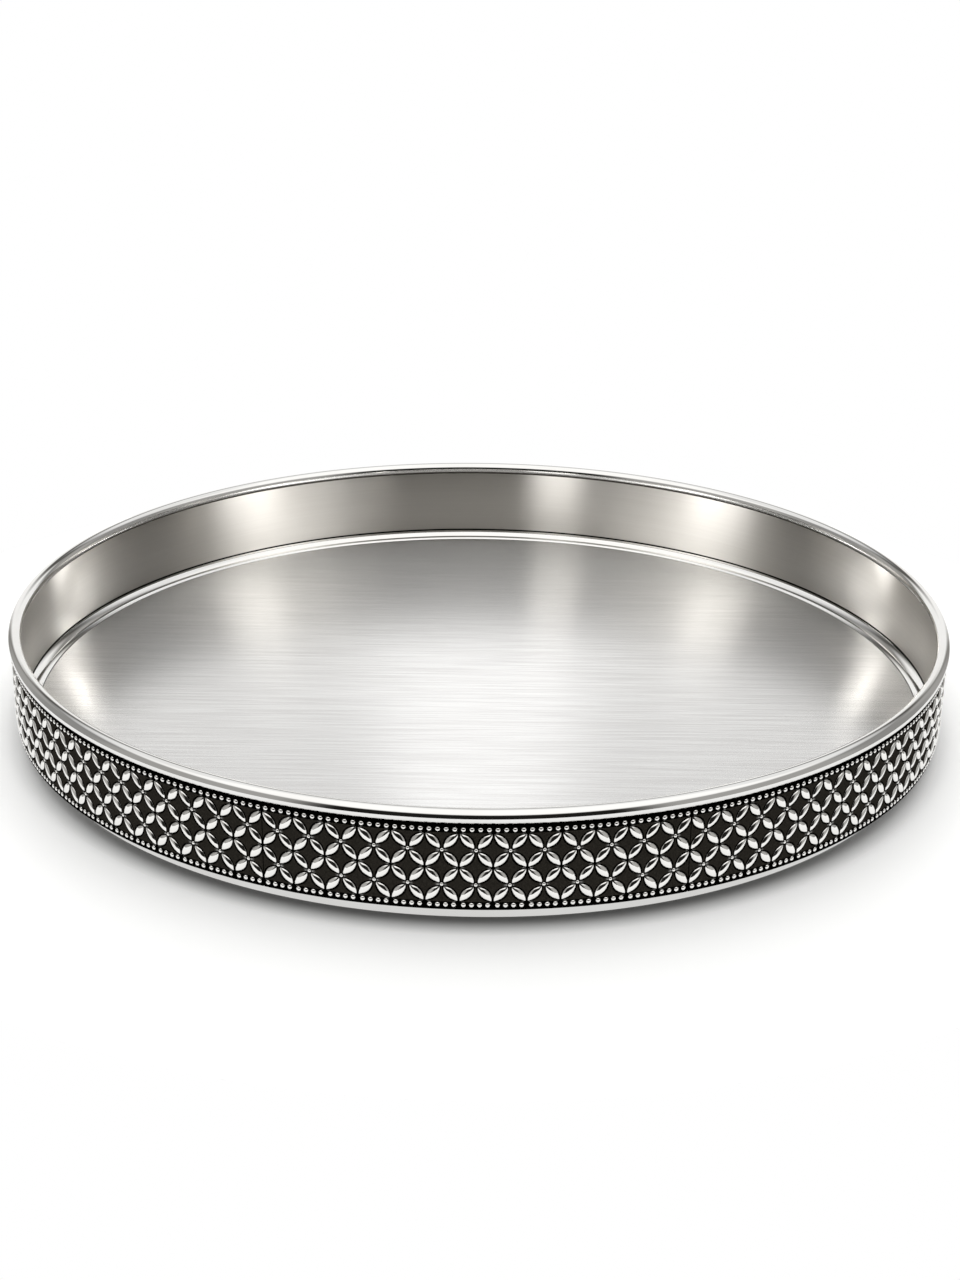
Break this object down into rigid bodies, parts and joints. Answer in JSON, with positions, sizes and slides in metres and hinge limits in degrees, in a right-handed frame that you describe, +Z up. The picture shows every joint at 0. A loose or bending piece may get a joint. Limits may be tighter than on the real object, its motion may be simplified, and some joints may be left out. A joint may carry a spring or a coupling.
{
  "type": "round gallery tray",
  "caption": "Round serving tray with a flat brushed floor, a low upright wall, a round rim wire, an inset foot ring and a struck floret and bead band round the outside.",
  "frame": {"origin": "on the ground under the middle of the tray, at the bottom centre of its bounding box", "axes": "+Z up along the tray's axis, -Y towards the viewer of the picture, +X to the viewer's right"},
  "size_m": [0.355, 0.355, 0.0404],
  "materials": {
    "brushed_floor": "silver plate, brushed in fine straight lines",
    "satin_wall": "silver plate, satin polished round the wall",
    "polished_trim": "silver plate, bright polished",
    "blackened_ornament": "silver plate, struck and blackened in the ground, with the petals and beads burnished bright"
  },
  "bodies": {
    "root": {"floor_plate": "brushed_floor", "wall_hoop": "satin_wall", "rim_wire": "polished_trim", "corner_moulding": "polished_trim", "foot_ring": "polished_trim", "ornament_strip_1": "blackened_ornament", "ornament_strip_2": "blackened_ornament", "ornament_strip_3": "blackened_ornament", "ornament_strip_4": "blackened_ornament", "ornament_strip_5": "blackened_ornament", "ornament_strip_6": "blackened_ornament", "ornament_strip_7": "blackened_ornament", "ornament_strip_8": "blackened_ornament"}
  },
  "joints": []
}
